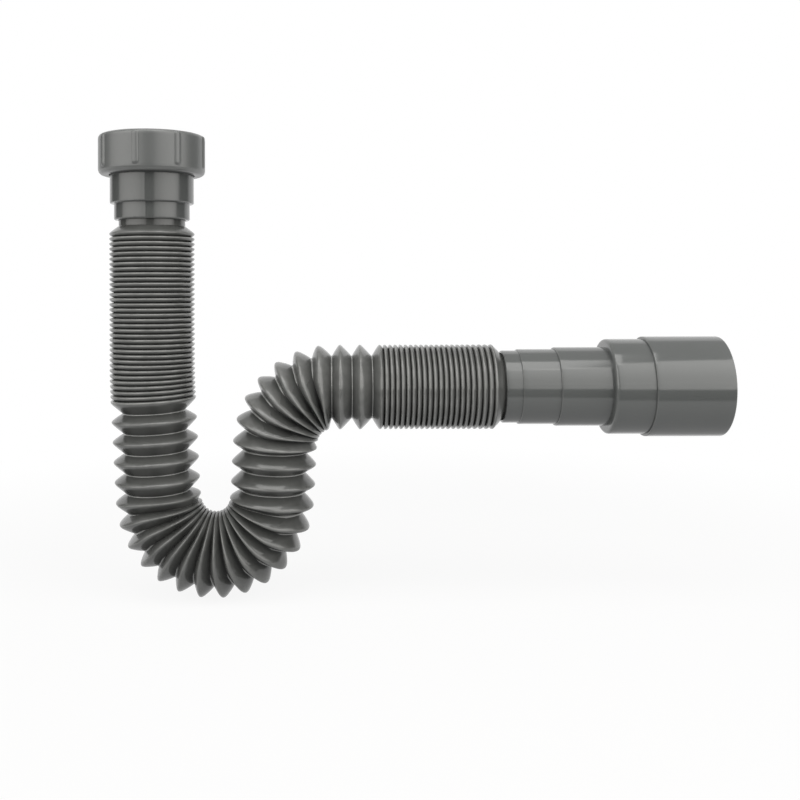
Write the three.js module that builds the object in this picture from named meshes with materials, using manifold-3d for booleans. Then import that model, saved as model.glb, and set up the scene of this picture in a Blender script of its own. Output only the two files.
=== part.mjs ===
import * as THREE from 'three';
import { mergeVertices } from 'three/addons/utils/BufferGeometryUtils.js';
import Module from 'manifold-3d';

// A flexible kitchen drain trap: a union nut and cuff at the inlet, a corrugated hose
// folded into a water seal, and a stepped adapter at the outlet.
// Millimetres, +Z up. The origin is the centre of the washer's top face, on which the
// sink's tailpiece seats. The hose runs down, round and out in the plane Y = 0, to +X.

// Fits
const fitGap = 0.3;               // clearance between pieces that touch
const sides = 48;                 // sides of a turned piece
const filletSteps = 2;            // steps of a rounded corner

// Union nut, for a 1-1/2 inch parallel thread
const threadRadius = 22.42;       // crest of the internal thread
const nutWall = 4.58;             // outside the thread's crests
const nutRise = 12.5;             // from the washer's top to the nut's top
const nutTopFillet = 2.6;
const nutBottomFillet = 3.2;
const threadLeadIn = 0.9;         // chamfer at the mouth of the thread
const lipThickness = 2.4;         // inward lip that pulls on the cuff's flange
const lipClearance = 0.4;         // between the lip and the cuff's collar
const gripCount = 8;
const gripWidth = 3.9;
const gripHeight = 0.6;           // how far a grip rib stands proud
const gripTopMargin = 0.9;        // from the nut's top to the rib's top
const gripBottomMargin = 2.8;     // from the nut's bottom to the rib's rounded end
const gripTurn = 15;              // degrees that the ribs are turned towards +X

// Sealing washer
const washerThickness = 3;
const washerWidth = 5.12;         // from its rim in to its bore

// Inlet cuff
const flangeThickness = 2;
const flangeWidth = 0.92;         // how far the flange stands out from the collar
const collarLength = 17.1;        // below the flange
const collarStep = 2.1;           // from the collar in to the smaller step
const cuffStepLength = 8.4;
const cuffWall = 2;               // of the smaller step, round the hose
const cuffLedge = 1.1;            // stands in over the hose's end
const cuffSocketDepth = 16.8;     // how far the hose enters the cuff
const cuffFillet = 0.6;

// Corrugated hose
const neckWall = 1.8;             // of the plain ends, outside the clear way through
const neckShown = 2.9;            // plain neck below the cuff
const rootStep = 0.8;             // from the neck in to the valley of an open fold
const foldDepth = 5.55;           // of an open fold, from crest to valley
const closedDepth = 2.25;         // what shows of that between closed folds
const crestShare = 0.41;          // crest's place along a fold, from its inlet side
const openPitch = 10.22;          // a fold that stands open
const closedPitch = 2.56;         // a fold in the upper stack
const outletClosedPitch = 2.66;   // a fold in the outlet stack
const ringPoints = 8;
const ribsPerBoreRing = 5;

// Folds along the hose, from inlet to outlet
const neckRibs = 10;              // closed ribs that let the hose swing at the inlet
const stackRibs = 24;             // closed ribs that pull out downwards
const openFolds = 29;             // folds that stand open, each its own ring
const outletStackRibs = 14;       // closed ribs that pull out to +X
const endRibs = 8;                // closed ribs that let the adapter swing

// Bends: a folded ring turns by foldTurn degrees and keeps its outer side open
const foldTurn = 13.42;
const hingeInset = 1.14;          // from a valley's edge in to where it turns
const waterSeal = { first: 5, last: 18, side: 1, lastShare: 0.5 };
const outletElbow = { first: 21, last: 27, side: -1, lastShare: 1 };
const elbowFirstShare = 0.5;      // the first fold of a bend turns half as far
const outletHeading = 90;         // the outlet runs level, to +X
const leanRibs = 8;               // last ribs of the upper stack, which lean to the bend

// Outlet adapter: five steps from the hose to the mouth. Each rise is what a step adds
// to the radius.
const hoseStepWall = 1.3;         // round the hose
const hoseStepLength = 8;
const secondRise = 0.65;
const secondLength = 18.9;
const thirdRise = 0.95;
const thirdLength = 25.7;
const shoulderRise = 4.15;
const fourthLength = 19.5;
const mouthRise = 1.25;
const mouthLength = 38.9;
const adapterWall = 2;
const adapterSocketDepth = 15;
const adapterStop = 1.1;          // ledge inside that stops the hose
const adapterFillet = 0.7;

// Radii that follow from the thread, inwards to the hose and out again to its crests
const nutRadius = threadRadius + nutWall;
const flangeRadius = threadRadius - fitGap;
const washerBore = flangeRadius - washerWidth;
const collarRadius = flangeRadius - flangeWidth;
const lipRadius = collarRadius + lipClearance;
const cuffStepRadius = collarRadius - collarStep;
const socketRadius = cuffStepRadius - cuffWall;
const cuffBore = socketRadius - cuffLedge;
const neckRadius = socketRadius - fitGap;
const hoseBore = neckRadius - neckWall;
const rootRadius = neckRadius - rootStep;
const crestRadius = rootRadius + foldDepth;
const closedRootRadius = crestRadius - closedDepth;
const hingeRadius = rootRadius - hingeInset;

// Heights that follow, from the washer down
const flangeTop = -washerThickness - fitGap;
const flangeBottom = flangeTop - flangeThickness;
const lipTop = flangeBottom - fitGap;
const nutBottom = lipTop - lipThickness;
const collarBottom = flangeBottom - collarLength;
const cuffBottom = collarBottom - cuffStepLength;
const socketTop = cuffBottom + cuffSocketDepth;

const wasm = await Module();
wasm.setup();

const greyPlastic = (name, color, roughness) =>
  new THREE.MeshStandardMaterial({ name, color, roughness, metalness: 0 });
const nutPlastic = greyPlastic('nut plastic', 0x6f7270, 0.38);
const cuffPlastic = greyPlastic('cuff plastic', 0x6b6e6c, 0.35);
const hosePlastic = greyPlastic('hose plastic', 0x666864, 0.42);
const adapterPlastic = greyPlastic('adapter plastic', 0x6e716f, 0.34);
const washerRubber = greyPlastic('washer rubber', 0x2b2b2b, 0.8);

// A closed outline in (radius, height), anticlockwise. A third number rounds a corner,
// which starts and ends that far from the corner.
function outline(corners) {
  const points = [];
  corners.forEach(([r, h, fillet], i) => {
    const corner = new THREE.Vector2(r, h);
    if (!fillet) {
      points.push(corner);
      return;
    }
    const towards = (other) =>
      new THREE.Vector2(other[0], other[1]).sub(corner).setLength(fillet).add(corner);
    const before = towards(corners.at(i - 1));
    const after = towards(corners[(i + 1) % corners.length]);
    const curve = new THREE.QuadraticBezierCurve(before, corner, after);
    points.push(...curve.getPoints(filletSteps));
  });
  points.push(points[0].clone());
  return points;
}

// Position and faces only, with shared vertices joined.
function welded(geometry) {
  geometry.deleteAttribute('normal');
  geometry.deleteAttribute('uv');
  return mergeVertices(geometry, 1e-4);
}

// An outline turned about Z.
function turned(corners) {
  const geometry = new THREE.LatheGeometry(outline(corners), sides);
  geometry.rotateX(Math.PI / 2);
  return welded(geometry);
}

function toSolid(geometry) {
  return new wasm.Manifold(new wasm.Mesh({
    numProp: 3,
    vertProperties: new Float32Array(geometry.attributes.position.array),
    triVerts: new Uint32Array(geometry.index.array),
  }));
}

function toGeometry(solid) {
  const mesh = solid.getMesh();
  const geometry = new THREE.BufferGeometry();
  geometry.setAttribute('position', new THREE.BufferAttribute(mesh.vertProperties, 3));
  geometry.setIndex(new THREE.BufferAttribute(mesh.triVerts, 1));
  return geometry;
}

function part(name, geometry, material) {
  const faceted = geometry.toNonIndexed();
  faceted.computeVertexNormals();
  const mesh = new THREE.Mesh(faceted, material);
  mesh.name = name;
  return mesh;
}

// Union nut: a turned shell with an inward lip and raised grip ribs.
function nutShell(proud) {
  return [
    [lipRadius, nutBottom],
    [nutRadius + proud, nutBottom, nutBottomFillet],
    [nutRadius + proud, nutRise, nutTopFillet],
    [threadRadius + threadLeadIn, nutRise],
    [threadRadius, nutRise - threadLeadIn],
    [threadRadius, lipTop],
    [lipRadius, lipTop],
  ];
}

// One grip rib, a flat strip with a rounded lower end that faces outwards at a bearing
// from -Y towards +X.
function gripRib(bearing) {
  const half = gripWidth / 2;
  const top = nutRise - gripTopMargin;
  const bottom = nutBottom + gripBottomMargin;
  const face = new THREE.Shape();
  face.moveTo(-half, top);
  face.lineTo(-half, bottom + half);
  face.absarc(0, bottom + half, half, Math.PI, 2 * Math.PI, false);
  face.lineTo(half, top);
  face.closePath();
  const depth = 2 * gripHeight + half;
  const geometry = new THREE.ExtrudeGeometry(face, {
    depth, bevelEnabled: false, curveSegments: 4,
  });
  geometry.translate(0, 0, nutRadius + gripHeight - depth);
  geometry.rotateX(Math.PI / 2);
  geometry.rotateZ(THREE.MathUtils.degToRad(bearing));
  return toSolid(welded(geometry));
}

function unionNut() {
  const spacing = 360 / gripCount;
  let ribs = gripRib(spacing / 2 + gripTurn);
  for (let i = 1; i < gripCount; i += 1) {
    ribs = ribs.add(gripRib(spacing * (i + 0.5) + gripTurn));
  }
  const envelope = toSolid(turned(nutShell(gripHeight)));
  const shell = toSolid(turned(nutShell(0)));
  return part('union_nut', toGeometry(shell.add(ribs.intersect(envelope))), nutPlastic);
}

function sealingWasher() {
  return part('sealing_washer', turned([
    [washerBore, -washerThickness],
    [flangeRadius, -washerThickness],
    [flangeRadius, 0],
    [washerBore, 0],
  ]), washerRubber);
}

// Inlet cuff: a flange under the washer, a collar, a smaller step and a socket below
// for the hose.
function inletCuff() {
  return part('inlet_cuff', turned([
    [socketRadius, cuffBottom],
    [cuffStepRadius, cuffBottom, cuffFillet],
    [cuffStepRadius, collarBottom],
    [collarRadius, collarBottom, cuffFillet],
    [collarRadius, flangeBottom],
    [flangeRadius, flangeBottom],
    [flangeRadius, flangeTop],
    [cuffBore, flangeTop],
    [cuffBore, socketTop],
    [socketRadius, socketTop],
  ]), cuffPlastic);
}

// A place on the hose's centre line. Its heading is in degrees from straight down,
// towards +X.
function advance(from, length, turn = 0) {
  const middle = THREE.MathUtils.degToRad(from.heading + turn / 2);
  return {
    x: from.x + length * Math.sin(middle),
    z: from.z - length * Math.cos(middle),
    heading: from.heading + turn,
  };
}

// A ring of points square to the centre line. It starts in the plane of the bends.
function ring(place, radius) {
  const heading = THREE.MathUtils.degToRad(place.heading);
  const points = [];
  for (let i = 0; i < ringPoints; i += 1) {
    const angle = (2 * Math.PI * i) / ringPoints;
    const across = radius * Math.cos(angle);
    points.push(
      place.x + across * Math.cos(heading),
      radius * Math.sin(angle),
      place.z + across * Math.sin(heading),
    );
  }
  return points;
}

// A length of hose: the skin's rings from inlet to outlet, then the bore's rings from
// outlet to inlet, joined in one loop that closes the ends.
function hoseGeometry(skin, bore) {
  const rings = [
    ...skin.map(({ place, radius }) => ring(place, radius)),
    ...bore.toReversed().map((place) => ring(place, hoseBore)),
  ];
  const index = [];
  rings.forEach((points, i) => {
    const next = (i + 1) % rings.length;
    for (let j = 0; j < ringPoints; j += 1) {
      const k = (j + 1) % ringPoints;
      const a = i * ringPoints + j;
      const b = i * ringPoints + k;
      const c = next * ringPoints + k;
      const d = next * ringPoints + j;
      index.push(a, d, c, a, c, b);
    }
  });
  const geometry = new THREE.BufferGeometry();
  geometry.setAttribute('position', new THREE.Float32BufferAttribute(rings.flat(), 3));
  geometry.setIndex(index);
  return geometry;
}

// Closed ribs from the crest of one to the crest of the last. Each has a valley after
// it, and the centre line turns a little in each of the last few.
function closedRibs(from, count, pitch, lean = 0, leaning = 0) {
  const skin = [{ place: from, radius: crestRadius }];
  let crest = from;
  for (let i = 1; i < count; i += 1) {
    const turn = i >= count - leaning ? lean / leaning : 0;
    const valley = advance(crest, (1 - crestShare) * pitch, (1 - crestShare) * turn);
    crest = advance(crest, pitch, turn);
    skin.push({ place: valley, radius: closedRootRadius });
    skin.push({ place: crest, radius: crestRadius });
  }
  return skin;
}

// Bore rings for a length of hose: at each end, and at every fifth rib between.
function boreOf(skin) {
  const step = 2 * ribsPerBoreRing;
  const last = skin.length - 1;
  return skin.filter((_, i) => i === 0 || i === last || (i % step === 0 && i < last - 1))
    .map(({ place }) => place);
}

// How far an open fold turns: fully inside a bend, half at its eased ends.
function turnOf(fold) {
  const bend = [waterSeal, outletElbow]
    .find(({ first, last }) => fold >= first && fold <= last);
  if (!bend) return 0;
  const share = { [bend.last]: bend.lastShare, [bend.first]: elbowFirstShare }[fold] ?? 1;
  return bend.side * share * foldTurn;
}

// The upper stack leans so that the outlet comes out level after all the turns.
let allTurns = 0;
for (let fold = 1; fold <= openFolds; fold += 1) allTurns += turnOf(fold);
const lean = outletHeading - allTurns;

// Cuts between two lengths of hose lie at a valley, with half the gap on each side.
const before = (place) => advance(place, -fitGap / 2);
const after = (place) => advance(place, fitGap / 2);

const neckTop = { x: 0, z: socketTop - fitGap, heading: 0 };
const neckEnd = { x: 0, z: cuffBottom - neckShown, heading: 0 };
const firstCrest = advance(neckEnd, crestShare * openPitch);
const swingSkin = closedRibs(firstCrest, neckRibs, closedPitch);
const swingEnd = advance(swingSkin.at(-1).place, (1 - crestShare) * closedPitch);
const stackCrest = advance(swingEnd, crestShare * closedPitch);
const stackSkin = closedRibs(stackCrest, stackRibs, closedPitch, lean, leanRibs);
const stackEnd = advance(stackSkin.at(-1).place, (1 - crestShare) * openPitch);

function hoseNeckRibs() {
  const skin = [
    { place: neckTop, radius: neckRadius },
    { place: neckEnd, radius: neckRadius },
    ...swingSkin,
    { place: before(swingEnd), radius: closedRootRadius },
  ];
  return part('hose_neck_ribs', hoseGeometry(skin, boreOf(skin)), hosePlastic);
}

function hoseUpperStack() {
  const skin = [
    { place: after(swingEnd), radius: closedRootRadius },
    ...stackSkin,
    { place: before(stackEnd), radius: rootRadius },
  ];
  return part('hose_upper_stack', hoseGeometry(skin, boreOf(skin)), hosePlastic);
}

// Open folds: each ring runs from valley to valley. A ring that turns keeps its outer
// side open, so it is shorter on the centre line.
const valleys = [stackEnd];
const hoseFolds = [];
for (let fold = 1; fold <= openFolds; fold += 1) {
  const turn = turnOf(fold);
  const pitch = openPitch - hingeRadius * THREE.MathUtils.degToRad(Math.abs(turn));
  const start = valleys.at(-1);
  const end = advance(start, pitch, turn);
  const crest = advance(start, crestShare * pitch, crestShare * turn);
  const skin = [
    { place: after(start), radius: rootRadius },
    { place: crest, radius: crestRadius },
    { place: before(end), radius: rootRadius },
  ];
  const name = `hose_fold_${String(fold).padStart(2, '0')}`;
  hoseFolds.push(part(name, hoseGeometry(skin, boreOf(skin)), hosePlastic));
  valleys.push(end);
}

const foldsEnd = valleys.at(-1);
const outletCrest = advance(foldsEnd, crestShare * openPitch);
const outletSkin = closedRibs(outletCrest, outletStackRibs, outletClosedPitch);
const outletStackEnd = advance(
  outletSkin.at(-1).place, (1 - crestShare) * outletClosedPitch,
);
const endCrest = advance(outletStackEnd, crestShare * outletClosedPitch);
const endSkin = closedRibs(endCrest, endRibs, outletClosedPitch);
const outletNeck = advance(endSkin.at(-1).place, (1 - crestShare) * openPitch);
const adapterStart = after(outletNeck);

function hoseOutletStack() {
  const skin = [
    { place: after(foldsEnd), radius: rootRadius },
    ...outletSkin,
    { place: before(outletStackEnd), radius: closedRootRadius },
  ];
  return part('hose_outlet_stack', hoseGeometry(skin, boreOf(skin)), hosePlastic);
}

function hoseEndRibs() {
  const neckTip = advance(adapterStart, adapterSocketDepth - fitGap);
  const skin = [
    { place: after(outletStackEnd), radius: closedRootRadius },
    ...endSkin,
    { place: outletNeck, radius: neckRadius },
    { place: neckTip, radius: neckRadius },
  ];
  return part('hose_end_ribs', hoseGeometry(skin, boreOf(skin)), hosePlastic);
}

// Outlet adapter: steps of growing diameter. Inside, a socket and a ledge hold the hose,
// and each wider step has the same wall, also across its shoulder.
function outletAdapter() {
  const steps = [
    [hoseStepWall, hoseStepLength],
    [secondRise, secondLength],
    [thirdRise, thirdLength],
    [shoulderRise, fourthLength],
    [mouthRise, mouthLength],
  ];
  let radius = socketRadius;
  let bore = socketRadius - adapterStop;
  const outside = [];
  const inside = [
    [socketRadius, 0],
    [socketRadius, adapterSocketDepth],
    [bore, adapterSocketDepth],
  ];
  let along = 0;
  steps.forEach(([rise, length]) => {
    radius += rise;
    outside.push([radius, along, adapterFillet]);
    if (radius - adapterWall > socketRadius) {
      inside.push([bore, along + adapterWall]);
      bore = radius - adapterWall;
      inside.push([bore, along + adapterWall]);
    }
    along += length;
    outside.push([radius, along]);
  });
  outside.at(-1).push(adapterFillet);
  inside.push([bore, along]);
  const geometry = turned([...outside, ...inside.reverse()]);
  geometry.rotateY(Math.PI / 2);
  geometry.translate(adapterStart.x, 0, adapterStart.z);
  return part('outlet_adapter', geometry, adapterPlastic);
}

const group = new THREE.Group();
group.add(unionNut(), sealingWasher(), inletCuff(), hoseNeckRibs(), hoseUpperStack());
group.add(...hoseFolds);
group.add(hoseOutletStack(), hoseEndRibs(), outletAdapter());

export default group;
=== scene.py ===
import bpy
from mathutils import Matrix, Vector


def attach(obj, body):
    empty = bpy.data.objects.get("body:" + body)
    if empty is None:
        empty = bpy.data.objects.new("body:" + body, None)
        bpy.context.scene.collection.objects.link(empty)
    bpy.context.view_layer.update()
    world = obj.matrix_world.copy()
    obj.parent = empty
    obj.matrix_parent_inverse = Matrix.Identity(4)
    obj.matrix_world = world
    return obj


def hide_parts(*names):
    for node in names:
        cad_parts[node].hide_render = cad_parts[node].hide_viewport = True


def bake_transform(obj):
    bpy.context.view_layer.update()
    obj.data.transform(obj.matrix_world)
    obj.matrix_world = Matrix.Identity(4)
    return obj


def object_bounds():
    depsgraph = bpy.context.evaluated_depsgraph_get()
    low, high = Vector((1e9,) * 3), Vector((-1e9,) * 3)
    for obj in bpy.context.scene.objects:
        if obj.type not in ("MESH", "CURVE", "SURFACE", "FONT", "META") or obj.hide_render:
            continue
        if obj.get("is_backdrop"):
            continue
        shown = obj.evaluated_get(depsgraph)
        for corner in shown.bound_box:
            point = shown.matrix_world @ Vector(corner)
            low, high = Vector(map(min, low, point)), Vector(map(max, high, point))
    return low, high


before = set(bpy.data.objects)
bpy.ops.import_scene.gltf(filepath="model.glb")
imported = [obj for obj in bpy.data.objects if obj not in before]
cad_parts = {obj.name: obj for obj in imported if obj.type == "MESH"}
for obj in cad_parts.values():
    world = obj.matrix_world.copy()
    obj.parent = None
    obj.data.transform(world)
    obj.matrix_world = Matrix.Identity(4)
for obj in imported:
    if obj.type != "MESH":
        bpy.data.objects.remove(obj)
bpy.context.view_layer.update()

import math
import bpy
import numpy as np

# Flexible drain trap: union nut, washer, cuff, corrugated hose and stepped adapter.
# Sizes are in millimetres, angles in degrees. Meshes are in metres.
mm = 0.001


# A node's input that is given a socket is linked, and one given a value is set.
def addNode(tree, kind, inputs=None, **settings):
    node = tree.nodes.new(kind)
    for name, value in settings.items():
        setattr(node, name, value)
    for name, value in (inputs or {}).items():
        if isinstance(value, bpy.types.NodeSocket):
            tree.links.new(value, node.inputs[name])
        else:
            node.inputs[name].default_value = value
    return node


def newGroup(name, inputs, outputs):
    group = bpy.data.node_groups.new(name, "ShaderNodeTree")
    for socketName, kind, value in inputs:
        socket = group.interface.new_socket(socketName, in_out="INPUT", socket_type=kind)
        socket.default_value = value
    for socketName, kind in outputs:
        group.interface.new_socket(socketName, in_out="OUTPUT", socket_type=kind)
    return group, group.nodes.new("NodeGroupInput"), group.nodes.new("NodeGroupOutput")


def calculate(tree, operation, *values, clamp=False):
    node = addNode(tree, "ShaderNodeMath", operation=operation, use_clamp=clamp,
                   inputs=dict(enumerate(values)))
    return node.outputs[0]


def smoothRange(tree, value, low, high, outLow=0.0, outHigh=1.0):
    node = addNode(tree, "ShaderNodeMapRange", interpolation_type="SMOOTHSTEP",
                   inputs={0: value, 1: low, 2: high, 3: outLow, 4: outHigh})
    return node.outputs[0]


def mixColor(tree, factor, a, b):
    node = addNode(tree, "ShaderNodeMix", data_type="RGBA", blend_type="MIX",
                   inputs={0: factor, 6: a, 7: b})
    return node.outputs[2]


def mixShader(tree, factor, a, b):
    return addNode(tree, "ShaderNodeMixShader", inputs={0: factor, 1: a, 2: b}).outputs[0]


def objectPlace(tree):
    return addNode(tree, "ShaderNodeTexCoord").outputs["Object"]


def noise(tree, place, scale, detail):
    node = addNode(tree, "ShaderNodeTexNoise",
                   inputs={"Vector": place, "Scale": scale, "Detail": detail})
    return node.outputs[0]


skinLook = {
    "cloudScale": 38.0, "cloudDetail": 4.0, "cloudRange": (0.35, 0.7),
    "speckScale": 900.0, "speckDetail": 2.0, "speckRange": (0.3, 0.75),
    "roughnessSpread": (-0.012, 0.015), "peelDetail": 2.0, "peelDepth": 0.0002,
}
wornAndLitLook = {"scale": 160.0, "detail": 3.0, "range": (0.25, 0.7), "share": (0.55, 1.0)}


# Moulded skin: cloudy pigment, specks of roughness and a soft orange peel.
def makeMouldedSkin(v):
    group, given, made = newGroup("mouldedSkin", [
        ("Color", "NodeSocketColor", (0.1, 0.1, 0.1, 1)),
        ("Light Color", "NodeSocketColor", (0.15, 0.15, 0.15, 1)),
        ("Cloudiness", "NodeSocketFloat", 0.3),
        ("Roughness", "NodeSocketFloat", 0.3),
        ("Peel", "NodeSocketFloat", 0.1),
        ("Peel Scale", "NodeSocketFloat", 700.0),
    ], [("Color", "NodeSocketColor"), ("Roughness", "NodeSocketFloat"),
        ("Normal", "NodeSocketVector")])
    place = objectPlace(group)
    clouds = noise(group, place, v["cloudScale"], v["cloudDetail"])
    specks = noise(group, place, v["speckScale"], v["speckDetail"])
    peel = noise(group, place, given.outputs["Peel Scale"], v["peelDetail"])
    cloudMask = smoothRange(group, clouds, *v["cloudRange"])
    share = calculate(group, "MULTIPLY", cloudMask, given.outputs["Cloudiness"])
    color = mixColor(group, share, given.outputs["Color"], given.outputs["Light Color"])
    spread = smoothRange(group, specks, *v["speckRange"], *v["roughnessSpread"])
    rough = calculate(group, "ADD", spread, given.outputs["Roughness"], clamp=True)
    bump = addNode(group, "ShaderNodeBump",
                   inputs={"Strength": given.outputs["Peel"], "Distance": v["peelDepth"],
                           "Height": peel}).outputs[0]
    for name, value in (("Color", color), ("Roughness", rough), ("Normal", bump)):
        group.links.new(value, made.inputs[name])
    return group


# Worn edges and the hose's painted highlights: lighter in patches where the value is high.
def makeWornAndLitEdges(v):
    group, given, made = newGroup("wornAndLitEdges", [
        ("Color", "NodeSocketColor", (0.1, 0.1, 0.1, 1)),
        ("Worn Lit Color", "NodeSocketColor", (0.25, 0.25, 0.25, 1)),
        ("Wear Light Share", "NodeSocketFloat", 0.0),
        ("Amount", "NodeSocketFloat", 0.5),
    ], [("Color", "NodeSocketColor")])
    patches = noise(group, objectPlace(group), v["scale"], v["detail"])
    patchMask = smoothRange(group, patches, *v["range"], *v["share"])
    part = calculate(group, "MULTIPLY", patchMask, given.outputs["Wear Light Share"])
    part = calculate(group, "MULTIPLY", part, given.outputs["Amount"], clamp=True)
    color = mixColor(group, part, given.outputs["Color"], given.outputs["Worn Lit Color"])
    group.links.new(color, made.inputs["Color"])
    return group


mouldedSkin = makeMouldedSkin(skinLook)
wornAndLitEdges = makeWornAndLitEdges(wornAndLitLook)


def plastic(name, v):
    material = bpy.data.materials.new(name)
    material.use_nodes = True
    tree = material.node_tree
    shader = tree.nodes["Principled BSDF"]
    skin = addNode(tree, "ShaderNodeGroup", node_tree=mouldedSkin, inputs={
        "Color": (*v["color"], 1), "Light Color": (*v["lightColor"], 1),
        "Cloudiness": v["cloudiness"], "Roughness": v["roughness"],
        "Peel": v["peel"], "Peel Scale": v["peelScale"]})
    # The attribute holds edge wear and, on the hose, painted highlights and glints.
    wearAndHighlight = addNode(tree, "ShaderNodeAttribute", attribute_name="wearAndHighlight")
    wearLightMix = addNode(tree, "ShaderNodeGroup", node_tree=wornAndLitEdges, inputs={
        "Color": skin.outputs["Color"], "Worn Lit Color": (*v["wornAndLitColor"], 1),
        "Wear Light Share": wearAndHighlight.outputs["Fac"], "Amount": v["wornAndLitAmount"]})
    tree.links.new(wearLightMix.outputs["Color"], shader.inputs["Base Color"])
    tree.links.new(skin.outputs["Roughness"], shader.inputs["Roughness"])
    tree.links.new(skin.outputs["Normal"], shader.inputs["Normal"])
    shader.inputs["IOR"].default_value = v["ior"]
    shader.inputs["Specular IOR Level"].default_value = v["specular"]
    material.diffuse_color = (*v["color"], 1)
    return material


finishes = {
    "nut": {"color": (0.13, 0.136, 0.134), "lightColor": (0.138, 0.144, 0.142),
            "cloudiness": 0.5, "roughness": 0.3, "peel": 0.03, "peelScale": 420.0,
            "wornAndLitColor": (0.24, 0.245, 0.24), "wornAndLitAmount": 0.35, "ior": 1.5,
            "specular": 0.75},
    "cuff": {"color": (0.098, 0.103, 0.101), "lightColor": (0.109, 0.114, 0.112),
             "cloudiness": 0.5, "roughness": 0.16, "peel": 0.02, "peelScale": 420.0,
             "wornAndLitColor": (0.2, 0.205, 0.2), "wornAndLitAmount": 0.3, "ior": 1.5,
             "specular": 0.75},
    # The hose's lighter colour paints the highlights and glints on its folds, with some
    # crest wear.
    "hose": {"color": (0.075, 0.077, 0.074), "lightColor": (0.089, 0.091, 0.087),
             "cloudiness": 0.6, "roughness": 0.17, "peel": 0.006, "peelScale": 500.0,
             "wornAndLitColor": (0.34, 0.345, 0.335), "wornAndLitAmount": 0.5, "ior": 1.5,
             "specular": 0.7},
    "adapter": {"color": (0.11, 0.116, 0.114), "lightColor": (0.12, 0.126, 0.124),
                "cloudiness": 0.5, "roughness": 0.13, "peel": 0.015, "peelScale": 380.0,
                "wornAndLitColor": (0.2, 0.205, 0.2), "wornAndLitAmount": 0.3, "ior": 1.5,
                "specular": 0.75},
    "washer": {"color": (0.018, 0.018, 0.018), "lightColor": (0.03, 0.03, 0.03),
               "cloudiness": 0.4, "roughness": 0.62, "peel": 0.3, "peelScale": 900.0,
               "wornAndLitColor": (0.05, 0.05, 0.05), "wornAndLitAmount": 0.3, "ior": 1.5,
               "specular": 0.4},
}
nutPlastic = plastic("nutPlastic", finishes["nut"])
cuffPlastic = plastic("cuffPlastic", finishes["cuff"])
hosePlastic = plastic("hosePlastic", finishes["hose"])
adapterPlastic = plastic("adapterPlastic", finishes["adapter"])
washerRubber = plastic("washerRubber", finishes["washer"])
print("materials made")

sharpAngle = 38.0  # a steeper edge stays sharp in the shading


# A closed tube of quads: rows run round the profile, columns run round the axis, and
# both wrap. Corner (i, j) joins (i+1, j), (i+1, j+1) and (i, j+1), all at once.
def tubeMesh(name, points, wearAndHighlight, material):
    rows, columns = points.shape[:2]
    i, j = np.meshgrid(np.arange(rows), np.arange(columns), indexing="ij")
    nextRow, nextColumn = (i + 1) % rows, (j + 1) % columns
    quads = np.stack([i * columns + j, nextRow * columns + j,
                      nextRow * columns + nextColumn, i * columns + nextColumn], axis=-1)
    mesh = bpy.data.meshes.new(name)
    mesh.vertices.add(rows * columns)
    mesh.vertices.foreach_set("co", (points * mm).astype(np.float32).ravel())
    mesh.loops.add(quads.size)
    mesh.loops.foreach_set("vertex_index", quads.astype(np.int32).ravel())
    mesh.polygons.add(rows * columns)
    mesh.polygons.foreach_set("loop_start", np.arange(0, quads.size, 4, dtype=np.int32))
    mesh.update(calc_edges=True)
    mesh.validate()
    mesh.shade_smooth()
    mesh.set_sharp_from_angle(angle=math.radians(sharpAngle))
    values = np.broadcast_to(wearAndHighlight, (rows, columns)).astype(np.float32).ravel()
    layer = mesh.attributes.new("wearAndHighlight", "FLOAT", "POINT")
    layer.data.foreach_set("value", values)
    mesh.materials.append(material)
    piece = bpy.data.objects.new(name, mesh)
    bpy.context.scene.collection.objects.link(piece)
    return piece


# A smooth step from 0 where the value is at the start to 1 where it is at the end.
def smoothBetween(value, start, end):
    t = np.clip((value - start) / (end - start), 0, 1)
    return t * t * (3 - 2 * t)


# A quadratic curve that rounds a corner.
def cornerCurve(start, corner, end, rows):
    t = np.linspace(0, 1, rows)[:, None]
    return (1 - t) ** 2 * start + 2 * t * (1 - t) * corner + t ** 2 * end


# A closed profile of (radius, height, fillet) corners. A fillet is a corner curve from
# a point that far before the corner to a point that far after it.
def filletedProfile(corners, rows=7):
    points, rubs = [], []
    for index, (radius, height, fillet) in enumerate(corners):
        corner = np.array([radius, height], float)
        if not fillet:
            points.append(corner[None])
            rubs.append([0.0])
            continue
        ends = []
        for other in (corners[index - 1], corners[(index + 1) % len(corners)]):
            way = np.array(other[:2], float) - corner
            ends.append(corner + way / np.linalg.norm(way) * fillet)
        points.append(cornerCurve(ends[0], corner, ends[1], rows))
        rubs.append(np.sin(np.pi * np.linspace(0, 1, rows)))
    return np.concatenate(points), np.concatenate(rubs)


# Extra rows on the long sides of a closed profile, so that no row is longer than most.
def splitProfile(points, rubs, most):
    newPoints, newRubs = [], []
    for index in range(len(points)):
        a, b = points[index], points[(index + 1) % len(points)]
        ra, rb = rubs[index], rubs[(index + 1) % len(points)]
        count = max(1, math.ceil(np.linalg.norm(b - a) / most))
        t = np.arange(count)[:, None] / count
        newPoints.append(a + (b - a) * t)
        newRubs.append(ra + (rb - ra) * t[:, 0])
    return np.concatenate(newPoints), np.concatenate(newRubs)


# One row of angles round the axis, measured from +X towards +Y.
def turnAngles(columns):
    return (2 * np.pi * np.arange(columns) / columns)[None]


# Radii and heights turned about Z: (radius cos(angle), radius sin(angle), height).
def turnedAboutZ(radius, height, angle):
    full = radius + 0 * angle
    return np.stack([full * np.cos(angle), full * np.sin(angle), height + 0 * full],
                    axis=-1)


# Mould seams: a bell curve of the distance round the piece from each seam's bearing.
def seamBells(v, angle):
    bells = 0 * angle
    for bearing in v["seamBearings"]:
        away = np.mod(angle - math.radians(bearing) + np.pi, 2 * np.pi) - np.pi
        bells = bells + np.exp(-(away * v["seamRadius"] / v["seamWidth"]) ** 2)
    return bells


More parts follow.
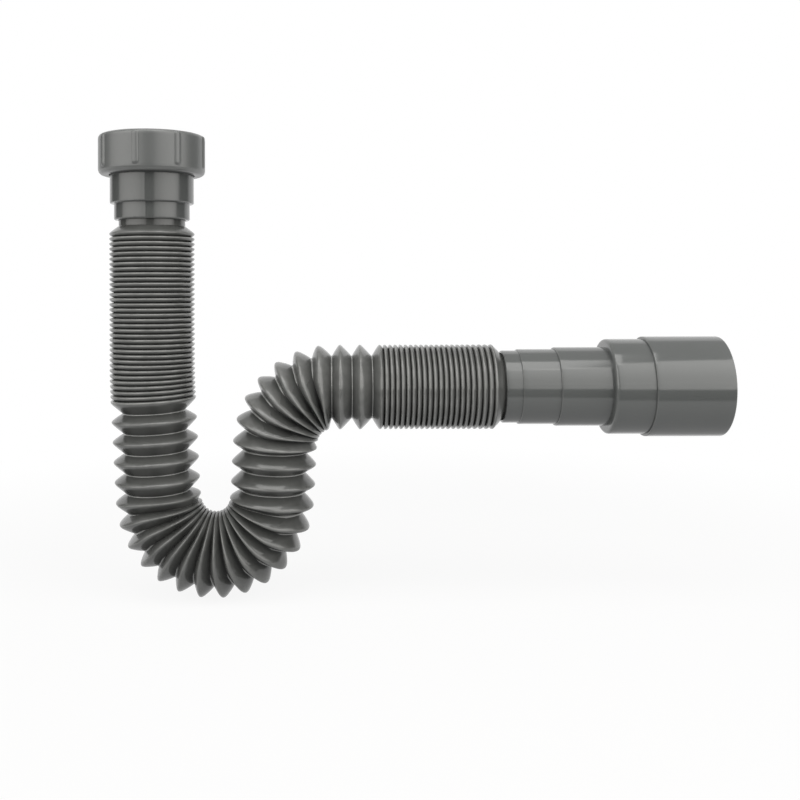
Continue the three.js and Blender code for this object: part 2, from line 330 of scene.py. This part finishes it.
nut = {
    "radius": 27.0, "top": 12.5, "bottom": -8.0, "topFillet": 2.6, "bottomFillet": 3.2,
    "leadIn": 0.9, "lipRadius": 21.6, "lipTop": -5.6, "lipFillet": 0.4,
    "innerFillet": 0.3, "sideDepth": 1.2, "topBand": 0.2, "rowLength": 0.42,
    "threadRadius": 22.42, "threadDepth": 1.35, "threadPitch": 2.309,
    "grooveStart": 0.18, "grooveWidth": 0.64, "fadeTop": 1.2, "fadeBottom": 1.5,
    "plainBottom": 0.6,
    "grips": 8, "gripTurn": 15.0, "gripHeight": 0.62, "gripFlat": 0.9, "gripFoot": 1.75,
    "gripTop": 10.4, "gripBottom": -3.2, "gripRub": 0.6, "columns": 384,
}


# Outside: a filleted profile turned about Z. A grip adds its height times a smooth step
# of the distance to its centre line, from foot to flat. Inside: the radius is the thread
# crest plus its depth times a clipped saw of (height / pitch - turn), faded at both ends.
def makeNut(v):
    corners = [
        (v["lipRadius"], v["bottom"], v["lipFillet"]),
        (v["radius"], v["bottom"], v["bottomFillet"]),
        (v["radius"], v["top"], v["topFillet"]),
        (v["threadRadius"] + v["leadIn"], v["top"], v["innerFillet"]),
        (v["threadRadius"], v["top"] - v["leadIn"], 0),
        (v["threadRadius"], v["lipTop"], 0),
        (v["lipRadius"], v["lipTop"], v["innerFillet"]),
    ]
    profile, rubs = splitProfile(*filletedProfile(corners), v["rowLength"])
    angle = turnAngles(v["columns"])
    radius, height = profile[:, :1], profile[:, 1:]

    outside = (radius > v["radius"] - v["sideDepth"]) & (height < v["top"] - v["topBand"])
    spacing = 2 * np.pi / v["grips"]
    bearing = angle + np.pi / 2 - math.radians(v["gripTurn"]) - spacing / 2
    across = (np.mod(bearing + spacing / 2, spacing) - spacing / 2) * v["radius"]
    beyond = height - np.clip(height, v["gripBottom"], v["gripTop"])
    distance = np.hypot(across, beyond)
    grip = smoothBetween(distance, v["gripFoot"], v["gripFlat"]) * outside
    ridge = 4 * grip * (1 - grip)

    inThread = np.isclose(radius, v["threadRadius"])
    turn = height / v["threadPitch"] - angle / (2 * np.pi)
    saw = np.abs(np.mod(turn, 1) - 0.5) * 2
    groove = np.clip((saw - v["grooveStart"]) / v["grooveWidth"], 0, 1)
    threadTop, threadBottom = v["top"] - v["leadIn"], v["lipTop"] + v["plainBottom"]
    fade = np.clip((threadTop - height) / v["fadeTop"], 0, 1)
    fade = fade * np.clip((height - threadBottom) / v["fadeBottom"], 0, 1)
    cut = v["threadDepth"] * groove * fade * inThread

    points = turnedAboutZ(radius + v["gripHeight"] * grip + cut, height, angle)
    wearAndHighlight = np.maximum(rubs[:, None], v["gripRub"] * ridge)
    return tubeMesh("unionNut", points, wearAndHighlight, nutPlastic)


unionNut = makeNut(nut)
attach(unionNut, "union_nut")
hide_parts("union_nut")
print("union nut made")


washer = {"bore": 17.0, "radius": 22.12, "thickness": 3.0, "fillet": 0.35, "columns": 128}


# Sealing washer: a rounded rectangle turned about Z.
def makeWasher(v):
    profile, rubs = filletedProfile([
        (v["bore"], -v["thickness"], v["fillet"]),
        (v["radius"], -v["thickness"], v["fillet"]),
        (v["radius"], 0.0, v["fillet"]),
        (v["bore"], 0.0, v["fillet"]),
    ])
    points = turnedAboutZ(profile[:, :1], profile[:, 1:], turnAngles(v["columns"]))
    return tubeMesh("sealingWasher", points, rubs[:, None], washerRubber)


sealingWasher = makeWasher(washer)
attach(sealingWasher, "sealing_washer")
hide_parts("sealing_washer")


cuff = {
    "flangeRadius": 22.12, "flangeTop": -3.3, "flangeBottom": -5.3,
    "collarRadius": 21.2, "collarBottom": -22.4, "stepRadius": 19.1, "bottom": -30.8,
    "socketRadius": 17.1, "socketTop": -14.0, "bore": 16.0, "fillet": 0.7,
    "chamfer": 0.9, "smallFillet": 0.2, "edgeFillet": 0.3, "boreFillet": 0.4,
    "wallMiddle": 1.0, "flangeGap": 0.1, "rowLength": 2.5,
    "seamBearings": (-89.5, 90.5), "seamRadius": 19.1, "seamWidth": 0.35,
    "seamHeight": 0.08, "columns": 256,
}


# Inlet cuff: a filleted, stepped profile turned about Z, plus the seams' height times
# their bells on the outside below the flange.
def makeCuff(v):
    profile, rubs = filletedProfile([
        (v["socketRadius"], v["bottom"], v["edgeFillet"]),
        (v["stepRadius"], v["bottom"], v["chamfer"]),
        (v["stepRadius"], v["collarBottom"], v["smallFillet"]),
        (v["collarRadius"], v["collarBottom"], v["fillet"]),
        (v["collarRadius"], v["flangeBottom"], 0),
        (v["flangeRadius"], v["flangeBottom"], v["smallFillet"]),
        (v["flangeRadius"], v["flangeTop"], v["edgeFillet"]),
        (v["bore"], v["flangeTop"], v["boreFillet"]),
        (v["bore"], v["socketTop"], v["smallFillet"]),
        (v["socketRadius"], v["socketTop"], 0),
    ])
    profile, rubs = splitProfile(profile, rubs, v["rowLength"])
    angle = turnAngles(v["columns"])
    radius, height = profile[:, :1], profile[:, 1:]
    outside = ((radius > v["socketRadius"] + v["wallMiddle"])
               & (height < v["flangeBottom"] - v["flangeGap"]))
    full = radius + v["seamHeight"] * seamBells(v, angle) * outside
    return tubeMesh("inletCuff", turnedAboutZ(full, height, angle), rubs[:, None],
                    cuffPlastic)


inletCuff = makeCuff(cuff)
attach(inletCuff, "inlet_cuff")
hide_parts("inlet_cuff")
print("washer and cuff made")


# A worn crest carries a painted highlight; flank light is painted light on the flanks,
# darker towards the root; the root glint and the closed ribs' highlight are painted
# highlights. Each is how much lighter a place is. "Range" pairs are for smoothBetween,
# over a value that is -1 at the outside of a bend and 1 at its inside. Each bend,
# "waterSeal" and "outletElbow", gives its first and last fold, the shares of a fold's turn
# that these two have, and its side.
hose = {
    "neckTop": -14.3, "neckEnd": -33.7, "neckRadius": 16.8, "bore": 15.0,
    "rootRadius": 16.0, "crestRadius": 21.55, "crestShare": 0.41, "wall": 1.15,
    "openPitch": 10.22, "closedPitch": 2.56, "outletClosedPitch": 2.66,
    "neckRibs": 10, "stackRibs": 24, "openFolds": 29, "outletStackRibs": 14,
    "endRibs": 8, "foldTurn": 13.42, "hingeRadius": 14.86, "outletHeading": 90.0,
    "waterSeal": (5, 18, 0.5, 0.5, 1), "outletElbow": (21, 27, 0.5, 1.0, -1),
    "leanRibs": 8, "endSpread": 1.1, "spreadRibs": 4,
    "neckTip": 14.7, "neckLand": 0.3, "neckSteps": (0.05, 0.3, 0.98, 1.0),
    "tipChamfer": 0.3,
    "crestLand": 1.2, "crestStart": 0.06, "crestRound": 2.2, "crestRows": 7,
    "flankBulge": 0.04, "flankSteps": (0.2, 0.4, 0.6, 0.8),
    "rootLand": 0.4, "rootRound": 0.25, "rootEnd": 0.4, "rootRows": 4,
    "foldLag": 1.5, "lagRange": (-1.0, -0.2), "lagEndRange": (1.0, -0.2),
    "endLag": 1.3, "endLagRange": (0.1, 0.8),
    "squeezedRoot": 20.3, "squeezedRoundness": 2.4, "squeezeRange": (0.4, 0.95),
    "closedRoot": 18.7, "closedPeak": 0.3, "roundness": 2.0, "fullness": 2.1,
    "beadRows": 13,
    "crestWearAndSheen": 0.75, "flankLight": 0.16, "flankLightFade": (0.95, 0.8, 0.6, 0.35),
    "rootGlint": 2.8, "rootGlintFade": (0.0, 0.3, 0.8, 1.0, 1.0), "glintRange": (-0.6, 0.25),
    "closedHighlight": 1.85, "highlightPlace": 0.8, "highlightWidth": 0.3,
    "foldBlend": 0.6, "ribBlend": 0.8, "neckBlend": 1.0, "stackBlend": 1.3,
    "columns": 96,
}

# The elbow and the outlet have a brighter painted crest highlight and flank light and a
# fainter painted highlight on their ribs, and the last cone less.
outletHose = dict(hose, closedHighlight=1.75, crestWearAndSheen=1.0, flankLight=0.42)
lastCone = dict(hose, crestLand=0.4, crestRound=1.0, crestWearAndSheen=0.3, flankLight=0.0)


# A place on the centre line, (x, z, heading), a length further on and turned.
def onward(place, length, turn=0.0):
    x, z, heading = place
    middle = math.radians(heading + turn / 2)
    return (x + length * math.sin(middle), z - length * math.cos(middle), heading + turn)


def foldTurnOf(v, fold):
    for first, last, firstShare, lastShare, side in (v["waterSeal"], v["outletElbow"]):
        if first <= fold <= last:
            share = firstShare if fold == first else lastShare if fold == last else 1
            return side * share * v["foldTurn"]
    return 0.0


# Crests and the valleys between them, from inlet to outlet, and whether each valley is
# an open fold's. Valley i follows crest i. The last closed ribs of the upper stack lean
# so that the outlet comes out level, and the last ones before the adapter are looser.
def hosePath(v):
    share = v["crestShare"]
    lean = v["outletHeading"] - sum(foldTurnOf(v, k + 1) for k in range(v["openFolds"]))
    neckEnd = (0.0, v["neckEnd"], 0.0)
    crests = [onward(neckEnd, share * v["openPitch"])]
    valleys, isOpen = [], []

    def closedRib(pitch, turn=0.0):
        valleys.append(onward(crests[-1], (1 - share) * pitch, (1 - share) * turn))
        isOpen.append(False)
        crests.append(onward(valleys[-1], share * pitch, share * turn))

    upperRibs = v["neckRibs"] + v["stackRibs"]
    for i in range(1, upperRibs):
        leans = i >= upperRibs - v["leanRibs"]
        closedRib(v["closedPitch"], lean / v["leanRibs"] if leans else 0)
    valley = onward(crests[-1], (1 - share) * v["openPitch"])
    for fold in range(1, v["openFolds"] + 2):
        turn = foldTurnOf(v, fold)
        pitch = v["openPitch"] - v["hingeRadius"] * math.radians(abs(turn))
        valleys.append(valley)
        isOpen.append(True)
        crests.append(onward(valley, share * pitch, share * turn))
        valley = onward(valley, pitch, turn)
    outletRibs = v["outletStackRibs"] + v["endRibs"]
    for i in range(1, outletRibs):
        spreads = i >= outletRibs - v["spreadRibs"]
        looser = v["endSpread"] / v["spreadRibs"] if spreads else 0
        closedRib(v["outletClosedPitch"] + looser)
    outletNeck = onward(crests[-1], (1 - share) * v["openPitch"] - v["endSpread"])
    return crests, valleys, isOpen, neckEnd, outletNeck, onward(outletNeck, v["neckTip"])


# Half a fold, from crest (0) to valley (1), is a list of: place, radius, radius where it
# is squeezed shut on the inside of a bend, worn crest with painted highlight and painted
# flank light, and painted root glint.

# A closed rib is a lopsided bead: root + depth * (1 - way^roundness)^(1/fullness), where
# way goes from 0 at its peak, a "closedPeak" share past the valley before it, to 1 at
# either valley.
def closedHalf(v, back):
    share, peak = v["crestShare"], v["closedPeak"]
    s = 0.5 - 0.5 * np.cos(np.linspace(0, np.pi, v["beadRows"]))
    part = share * (1 - s) if back else share + (1 - share) * s
    way = np.where(part < peak, (peak - part) / peak, (part - peak) / (1 - peak))
    bead = np.clip(1 - way ** v["roundness"], 0, 1) ** (1 / v["fullness"])
    radius = v["closedRoot"] + (v["crestRadius"] - v["closedRoot"]) * bead
    # Painted highlight: a lighter band just before the peak, on the side of the bead
    # facing the light.
    litBand = np.clip(1 - np.abs(part - v["highlightPlace"] * peak) / v["highlightWidth"], 0, 1)
    return s, radius, radius, v["closedHighlight"] * litBand, 0 * litBand


# An open fold is a cone with a slight bulge between a short flat on the crest and one in
# the root, with its corners rounded. Squeezed, it is a bead: root + depth * sqrt(1 -
# place^roundness).
def openHalf(v, length):
    crest, root = v["crestRadius"], v["rootRadius"]
    crestCorner = np.array([0.5 * v["crestLand"], crest])
    rootCorner = np.array([length - 0.5 * v["rootLand"], root])
    way = (rootCorner - crestCorner) / np.linalg.norm(rootCorner - crestCorner)
    crestStart = np.array([v["crestStart"], crest])
    crestEnd = crestCorner + way * v["crestRound"]
    rootStart = rootCorner - way * v["rootRound"]
    flat = min(v["rootRound"], v["rootEnd"] * v["rootLand"])
    rootEnd = np.array([rootCorner[0] + flat, root])
    bulge = np.array([-way[1], way[0]]) * v["flankBulge"]
    t = np.array(v["flankSteps"])[:, None]
    line = np.concatenate([
        [[0.0, crest]],
        cornerCurve(crestStart, crestCorner, crestEnd, v["crestRows"]),
        crestEnd + (rootStart - crestEnd) * t + 4 * t * (1 - t) * bulge,
        cornerCurve(rootStart, rootCorner, rootEnd, v["rootRows"]),
        [[length, root]],
    ])
    # Painted light: a worn crest with a painted highlight, fading into painted flank light
    # that darkens towards the root, and a painted glint in the root.
    crestWearAndLight, rootGlintShare = np.zeros(len(line)), np.zeros(len(line))
    crestWearAndLight[0] = v["crestWearAndSheen"]
    flankRow = 1 + v["crestRows"]
    crestWearAndLight[1:flankRow] = np.linspace(v["crestWearAndSheen"], v["flankLight"], v["crestRows"])
    rootRow = flankRow + len(v["flankLightFade"])
    crestWearAndLight[flankRow:rootRow] = v["flankLight"] * np.array(v["flankLightFade"])
    rootGlintShare[rootRow:] = v["rootGlint"] * np.array(v["rootGlintFade"])
    s = line[:, 0] / length
    bead = np.sqrt(np.clip(1 - s ** v["squeezedRoundness"], 0, 1))
    squeezed = v["squeezedRoot"] + (crest - v["squeezedRoot"]) * bead
    return s, line[:, 1], squeezed, crestWearAndLight, rootGlintShare


# How far a crest is folded, from -1 to 1 with the side of its bend.
def squeezeOf(v, crest):
    fold = crest - v["neckRibs"] - v["stackRibs"] + 1
    return foldTurnOf(v, fold) / v["foldTurn"]


def lerpPlaces(a, b, s):
    a, b = np.array(a), np.array(b)
    return a[None] + (b - a)[None] * s[:, None]


# A row of the hose's tables is: x, z, heading, radius, squeezed radius, squeeze, lag,
# end lag, worn crest with painted highlight and flank light, and painted root glint.
rowSize = 10


# The outer rows of a run of folds, from one crest to another. A valley beside a straight
# fold isn't squeezed and doesn't lag.
def foldRows(v, first, last):
    tables = []
    for i in range(first, last):
        sides = squeezeOf(v, i), squeezeOf(v, i + 1)
        valleySqueeze = sum(sides) / 2 if all(sides) else 0.0
        for crest, back in ((i, False), (i + 1, True)):
            start, end = crests[crest], valleys[i]
            length = math.hypot(end[0] - start[0], end[1] - start[1])
            half = openHalf(v, length) if isOpen[i] else closedHalf(v, back)
            s, radius, squeezed, crestWearAndLight, rootGlintShare = half
            own = squeezeOf(v, crest)
            squeeze = own * (1 - s) + valleySqueeze * s
            lag = v["foldLag"] * abs(own) * (1 - s if valleySqueeze == 0 else 1 + 0 * s)
            endsBend = own != 0 and squeezeOf(v, crest + 1) == 0
            endLag = v["endLag"] * abs(own) * endsBend * (1 - s)
            table = np.column_stack([lerpPlaces(start, end, s), radius, squeezed, squeeze,
                                     lag, endLag, crestWearAndLight, rootGlintShare])
            tables.append(table[::-1][1:] if back else table if i == first else table[1:])
    return np.concatenate(tables)


# The inner rows at each crest and valley, back from outlet to inlet. An open fold's
# inside is its outside less the wall, and a closed stack's is the plain bore.
def innerRows(v, first, last):
    rows = []
    for i in range(first, last):
        crestIn = v["crestRadius"] - v["wall"] if isOpen[i] else v["bore"]
        rootIn = v["rootRadius"] - v["wall"] if isOpen[i] else v["bore"]
        if not rows or rows[-1][3] != crestIn:
            rows.append((*crests[i], crestIn))
        rows.append((*valleys[i], rootIn))
        rows.append((*crests[i + 1], crestIn))
    rows = np.array(rows)[::-1]
    return np.column_stack([rows, rows[:, 3], np.zeros((len(rows), rowSize - 5))])


# Plain neck with its cone, from the first or last crest to the hose's end.
def neckRows(v, neckEndPlace, tipPlace, crest):
    length = math.hypot(crest[0] - neckEndPlace[0], crest[1] - neckEndPlace[1])
    cone = dict(v, rootRadius=v["neckRadius"], rootLand=v["neckLand"])
    s, radius, _, rub, _ = openHalf(cone, length)
    steps = np.array(v["neckSteps"])
    place = np.concatenate([lerpPlaces(crest, neckEndPlace, s)[1:],
                            lerpPlaces(neckEndPlace, tipPlace, steps)])
    plain = np.full(len(steps), v["neckRadius"])
    plain[-1] -= v["tipChamfer"]
    radius = np.concatenate([radius[1:], plain])
    rub = np.concatenate([rub[1:], 0 * steps])
    return np.column_stack([place, radius, radius, np.zeros((len(rub), 3)), rub, 0 * rub])


# The row that closes a neck's end at the bore.
def boreEnd(v, row):
    end = np.zeros((1, rowSize))
    end[0, :3], end[0, 3:5] = row[:3], v["bore"]
    return end


# Ring point = centre + radius * (cos(turn) * across + sin(turn) * Y), with across square
# to the heading in the plane of the bends. The radius goes to the squeezed one where
# cos(turn) points to the inside of the bend. A fold lags: it moves back along the heading
# at the ring's middle, and not at the outside of the bend. The last fold of a bend also
# lags on the inside. The painted glint line in a root fades towards the inside.
def hosePiece(name, v, first, last, before=None, after=None):
    outer, inner = foldRows(v, first, last), innerRows(v, first, last)
    if before is not None:
        outer = np.concatenate([before, outer])
        inner = np.concatenate([inner, boreEnd(v, before[0])])
    if after is not None:
        outer = np.concatenate([outer, after])
        inner = np.concatenate([boreEnd(v, after[-1]), inner])
    x, z, heading, radius, squeezed, squeeze, lag, endLag, crestWearAndLight, rootGlintShare = np.split(
        np.concatenate([outer, inner]), rowSize, axis=1)
    turn, heading = turnAngles(v["columns"]), np.radians(heading)
    inwards = np.cos(turn) * np.sign(squeeze)
    inside = smoothBetween(inwards, *v["squeezeRange"]) * np.abs(squeeze)
    full = radius + (squeezed - radius) * inside
    across = full * np.cos(turn)
    lag = lag * smoothBetween(inwards, *v["lagRange"])
    lag = lag * smoothBetween(inwards, *v["lagEndRange"])
    lag = lag + endLag * smoothBetween(inwards, *v["endLagRange"])
    points = np.stack([x + across * np.cos(heading) - lag * np.sin(heading),
                       full * np.sin(turn),
                       z + across * np.sin(heading) + lag * np.cos(heading)], axis=-1)
    fade = smoothBetween(inwards, *v["glintRange"]) * np.abs(squeeze)
    wearAndHighlight = crestWearAndLight + rootGlintShare * (1 - fade)
    return tubeMesh(name, points, wearAndHighlight, hosePlastic)


def foldNode(fold):
    return f"hose_fold_{fold:02d}"


# Each straight stretch of folds rides on one body.
def straightRun(name, v, body, fromCrest, toCrest, folds):
    piece = hosePiece(name, v, fromCrest, toCrest)
    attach(piece, body)
    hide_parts(*[foldNode(fold) for fold in folds])


# In a bend, each piece runs from one crest to the next and turns at the valley between.
def bend(name, v, first, last):
    for fold in range(first, last):
        crest = firstFold + fold - 1
        piece = hosePiece(f"{name}{fold:02d}", v, crest, crest + 1)
        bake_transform(piece)
        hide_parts(foldNode(fold + 1))


crests, valleys, isOpen, neckEnd, outletNeck, neckTip = hosePath(hose)
# Numbers of crests, counted from 0 at the inlet.
stackStart = hose["neckRibs"] - 1
lastUpper = stackStart + hose["stackRibs"]
firstFold = lastUpper + 1
firstOutlet = firstFold + hose["openFolds"]
lastOutletRun = firstOutlet + hose["outletStackRibs"] - 1
lastCrest = len(crests) - 1
# Numbers of open folds, counted from 1.
sealFirst, sealLast = hose["waterSeal"][:2]
elbowFirst, elbowLast = hose["outletElbow"][:2]

neckRibs = hosePiece("hoseNeckRibs", hose, 0, stackStart,
                     before=neckRows(hose, neckEnd, (0.0, hose["neckTop"], 0.0),
                                     crests[0])[::-1])
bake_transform(neckRibs)
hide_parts("hose_neck_ribs")

upperStack = hosePiece("hoseUpperStack", hose, stackStart, lastUpper)
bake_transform(upperStack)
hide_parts("hose_upper_stack")

straightRun("hoseUpperLimb", hose, "upper_limb", lastUpper, firstFold + sealFirst - 1,
            range(1, sealFirst + 1))
bend("hoseSealFold", hose, sealFirst, sealLast)
straightRun("hoseRightLimb", hose, "right_limb", firstFold + sealLast - 1,
            firstFold + elbowFirst - 1, range(sealLast + 1, elbowFirst + 1))
bend("hoseElbowFold", outletHose, elbowFirst, elbowLast)
straightRun("hoseOutletLimb", outletHose, "outlet_limb", firstFold + elbowLast - 1,
            firstOutlet, range(elbowLast + 1, hose["openFolds"] + 1))

outletStack = hosePiece("hoseOutletStack", outletHose, firstOutlet, lastOutletRun)
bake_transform(outletStack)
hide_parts("hose_outlet_stack")

endRibs = hosePiece("hoseEndRibs", outletHose, lastOutletRun, lastCrest,
                    after=neckRows(lastCone, outletNeck, neckTip, crests[lastCrest]))
# From the adapter back to the run: the other way, the last digits of the body matrices
# move the neck off the adapter where many joints turn at once.
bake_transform(endRibs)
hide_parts("hose_end_ribs")
print("hose made")


adapter = {
    "start": 0.15, "socketRadius": 17.1, "socketDepth": 15.0, "stop": 1.1, "wall": 2.0,
    "steps": [(1.3, 8.0), (0.65, 18.9), (0.95, 25.7), (4.15, 19.5), (1.25, 38.9)],
    "fillet": 0.7, "filletShare": 0.9, "shoulderRise": 3.0, "shoulderFillet": 1.8,
    "rimFillet": 0.8, "socketFillet": 0.35, "smallFillet": 0.2, "boreFillet": 0.4,
    "mouthFillet": 0.5, "filletRows": 6, "rowLength": 3.0, "columns": 256,
    "seamBearings": (82.0, 262.0), "seamRadius": 20.0, "seamWidth": 0.4,
    "seamHeight": 0.05, "seamWall": 1.25,
}


# Outlet adapter: the steps' profile turned about the outlet's axis, along +X, plus the
# seams. Each wider step has the same wall, also across its shoulder.
def makeAdapter(v, origin):
    radius, along = v["socketRadius"], 0.0
    bore = v["socketRadius"] - v["stop"]
    outside = []
    inside = [(v["socketRadius"], 0.0, v["socketFillet"]),
              (v["socketRadius"], v["socketDepth"], 0),
              (bore, v["socketDepth"], v["smallFillet"])]
    for rise, length in v["steps"]:
        radius += rise
        fillet = min(v["fillet"], v["filletShare"] * rise)
        if rise > v["shoulderRise"]:
            fillet = v["shoulderFillet"]
        outside.append((radius, along, fillet))
        if radius - v["wall"] > v["socketRadius"]:
            inside.append((bore, along + v["wall"], v["smallFillet"]))
            bore = radius - v["wall"]
            inside.append((bore, along + v["wall"], v["boreFillet"]))
        along += length
        outside.append((radius, along, 0))
    outside[-1] = (radius, along, v["rimFillet"])
    inside.append((bore, along, v["mouthFillet"]))
    profile, rubs = filletedProfile(outside + inside[::-1], v["filletRows"])
    profile, rubs = splitProfile(profile, rubs, v["rowLength"])
    angle = turnAngles(v["columns"])
    radius, length = profile[:, :1], profile[:, 1:]
    onSeam = radius > v["socketRadius"] + v["seamWall"]
    full = radius + v["seamHeight"] * seamBells(v, angle) * onSeam
    points = np.stack([origin[0] + length + 0 * angle, full * np.sin(angle),
                       origin[1] - full * np.cos(angle)], axis=-1)
    return tubeMesh("outletAdapter", points, rubs[:, None], adapterPlastic)


outletAdapter = makeAdapter(adapter, onward(outletNeck, adapter["start"]))
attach(outletAdapter, "outlet_adapter")
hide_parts("outlet_adapter")
print("outlet adapter made")


# Edges and "behind" are ranges of Y and "above" is one of Z, where a glow starts and is
# full. "shadowEnd" is a range of distance from the centre. The floor's size, centre,
# edges and shadow end are in metres, and its gap in millimetres.
studio = {
    "floorGap": 0.4, "floorSize": 6.0, "floorColor": (0.9, 0.9, 0.9),
    "floorRoughness": 0.9, "floorSpecular": 0.1,
    "centre": (0.13, 0.0), "shadowEnd": (0.2, 0.5), "nearShare": 0.9,
    "floorGloss": 0.7, "floorBounce": 0.4, "frontEdge": (-0.24, -0.19),
    "backEdge": (-0.05, 0.15),
    "fill": 0.16, "behind": (0.52, 0.72), "above": (0.3, 0.8), "aboveGloss": 0.5,
    "frontGloss": 0.03,
}


def rayMasks(tree):
    rays = addNode(tree, "ShaderNodeLightPath").outputs
    gloss = calculate(tree, "MAXIMUM", rays["Is Glossy Ray"], rays["Is Transmission Ray"])
    return rays["Is Camera Ray"], gloss, rays["Is Diffuse Ray"]


def glow(tree, strength):
    return addNode(tree, "ShaderNodeEmission", inputs={"Strength": strength}).outputs[0]


# A sheet of floor just under the object. Far from the object it is plain white to the
# camera, and near it keeps the object's shadow. In gloss it is white behind, grey below
# and dark in front.
def makeFloor(v):
    half = v["floorSize"] / 2
    height = min(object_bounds()[0][2], 0) - v["floorGap"] * mm
    mesh = bpy.data.meshes.new("floor")
    mesh.from_pydata([(-half, -half, height), (half, -half, height),
                      (half, half, height), (-half, half, height)], [], [(0, 1, 2, 3)])
    floor = bpy.data.objects.new("floor", mesh)
    bpy.context.scene.collection.objects.link(floor)
    material = bpy.data.materials.new("floorPaper")
    material.use_nodes = True
    tree = material.node_tree
    shader = tree.nodes["Principled BSDF"]
    shader.inputs["Base Color"].default_value = (*v["floorColor"], 1)
    shader.inputs["Roughness"].default_value = v["floorRoughness"]
    shader.inputs["Specular IOR Level"].default_value = v["floorSpecular"]
    camera, gloss, soft = rayMasks(tree)
    place = objectPlace(tree)
    parts = addNode(tree, "ShaderNodeSeparateXYZ", inputs={0: place}).outputs
    fromCentre = addNode(tree, "ShaderNodeVectorMath", operation="DISTANCE",
                         inputs={0: place, 1: (*v["centre"], height)}).outputs["Value"]
    white = smoothRange(tree, fromCentre, *v["shadowEnd"], v["nearShare"], 1.0)
    below = smoothRange(tree, parts["Y"], *v["frontEdge"], 0.0, v["floorGloss"])
    behind = smoothRange(tree, parts["Y"], *v["backEdge"])
    shine = calculate(tree, "MAXIMUM", below, behind)
    share = calculate(tree, "MULTIPLY", camera, white)
    mix = mixShader(tree, share, shader.outputs[0], glow(tree, 1.0))
    mix = mixShader(tree, gloss, mix, glow(tree, shine))
    mix = mixShader(tree, soft, mix, glow(tree, v["floorBounce"]))
    tree.links.new(mix, tree.nodes["Material Output"].inputs["Surface"])
    mesh.materials.append(material)
    floor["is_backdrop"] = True


# World: white to the camera. In gloss it is white behind the object, grey above and
# dark elsewhere. Its fill light is an even grey.
def makeWorld(v):
    world = bpy.data.worlds.new("studio")
    world.use_nodes = True
    tree = world.node_tree
    background = tree.nodes["Background"]
    camera, gloss, _ = rayMasks(tree)
    way = addNode(tree, "ShaderNodeTexCoord").outputs["Generated"]
    parts = addNode(tree, "ShaderNodeSeparateXYZ", inputs={0: way}).outputs
    behind = smoothRange(tree, parts["Y"], *v["behind"], v["frontGloss"], 1.0)
    above = smoothRange(tree, parts["Z"], *v["above"], 0.0, v["aboveGloss"])
    shine = calculate(tree, "MAXIMUM", behind, above)
    color = mixColor(tree, gloss, (v["fill"],) * 3 + (1,), shine)
    color = mixColor(tree, camera, color, (1, 1, 1, 1))
    tree.links.new(color, background.inputs["Color"])
    background.inputs["Strength"].default_value = 1.0
    bpy.context.scene.world = world


# Softboxes: place of the middle in metres, width and height, bearing (+ is to the right
# of the camera), tilt (90 is upright, 0 faces down), power, colour, and the share of its
# light that is lost at its sides.
softboxes = {
    "leftSoftbox": {"place": (-0.69, -0.579, 0.415), "size": (1.51, 1.11),
                    "bearing": -50.0, "tilt": 90.0, "power": 10.9,
                    "color": (1.0, 0.985, 0.96), "falloff": 0.6},
    "rightSoftbox": {"place": (0.83, -0.415, 0.415), "size": (1.43, 1.11),
                     "bearing": 33.0, "tilt": 90.0, "power": 11.0,
                     "color": (1.0, 0.985, 0.96), "falloff": 0.6},
    "topSoftbox": {"place": (0.04, -0.36, 0.9), "size": (0.96, 0.6), "bearing": 0.0,
                   "tilt": 0.0, "power": 4.3, "color": (1.0, 0.99, 0.97),
                   "falloff": 0.0},
}


# The light of a softbox falls as the square of the way from its middle to a side.
def makeLights(boxes):
    for name, v in boxes.items():
        light = bpy.data.lights.new(name, "AREA")
        light.shape, light.color = "RECTANGLE", v["color"]
        light.size, light.size_y, light.energy = *v["size"], v["power"]
        light.use_nodes = True
        tree = light.node_tree
        across = addNode(tree, "ShaderNodeNewGeometry").outputs["Parametric"]
        parts = addNode(tree, "ShaderNodeSeparateXYZ", inputs={0: across}).outputs
        away = calculate(tree, "MULTIPLY_ADD", parts["X"], 2.0, -1.0)
        square = calculate(tree, "MULTIPLY", away, away)
        level = calculate(tree, "MULTIPLY_ADD", square, -v["falloff"], 1.0)
        tree.links.new(level, tree.nodes["Emission"].inputs["Strength"])
        lamp = bpy.data.objects.new(name, light)
        lamp.location = v["place"]
        lamp.rotation_euler = (math.radians(v["tilt"]), 0, math.radians(v["bearing"]))
        bpy.context.scene.collection.objects.link(lamp)


# The focal length, the picture's centre and the frame are in pixels.
camera = {"x": 90.5, "z": -64.35, "distance": 500.0, "focal": 975.5, "centreX": 328.9,
          "centreY": 285.6, "roll": 0.15, "frame": 800.0, "sensor": 36.0,
          "nearClip": 0.01}


def makeCamera(v):
    data = bpy.data.cameras.new("camera")
    data.sensor_fit = "HORIZONTAL"
    data.sensor_width = v["sensor"]
    data.lens = v["focal"] * v["sensor"] / v["frame"]
    data.shift_x = (v["frame"] / 2 - v["centreX"]) / v["frame"]
    data.shift_y = (v["centreY"] - v["frame"] / 2) / v["frame"]
    data.clip_start = v["nearClip"]
    eye = bpy.data.objects.new("camera", data)
    eye.location = (v["x"] * mm, -v["distance"] * mm, v["z"] * mm)
    eye.rotation_euler = (math.pi / 2, math.radians(v["roll"]), 0)
    bpy.context.scene.collection.objects.link(eye)
    bpy.context.scene.camera = eye


makeFloor(studio)
makeWorld(studio)
makeLights(softboxes)
makeCamera(camera)
bpy.context.scene.view_settings.view_transform = "Standard"
print("studio made")
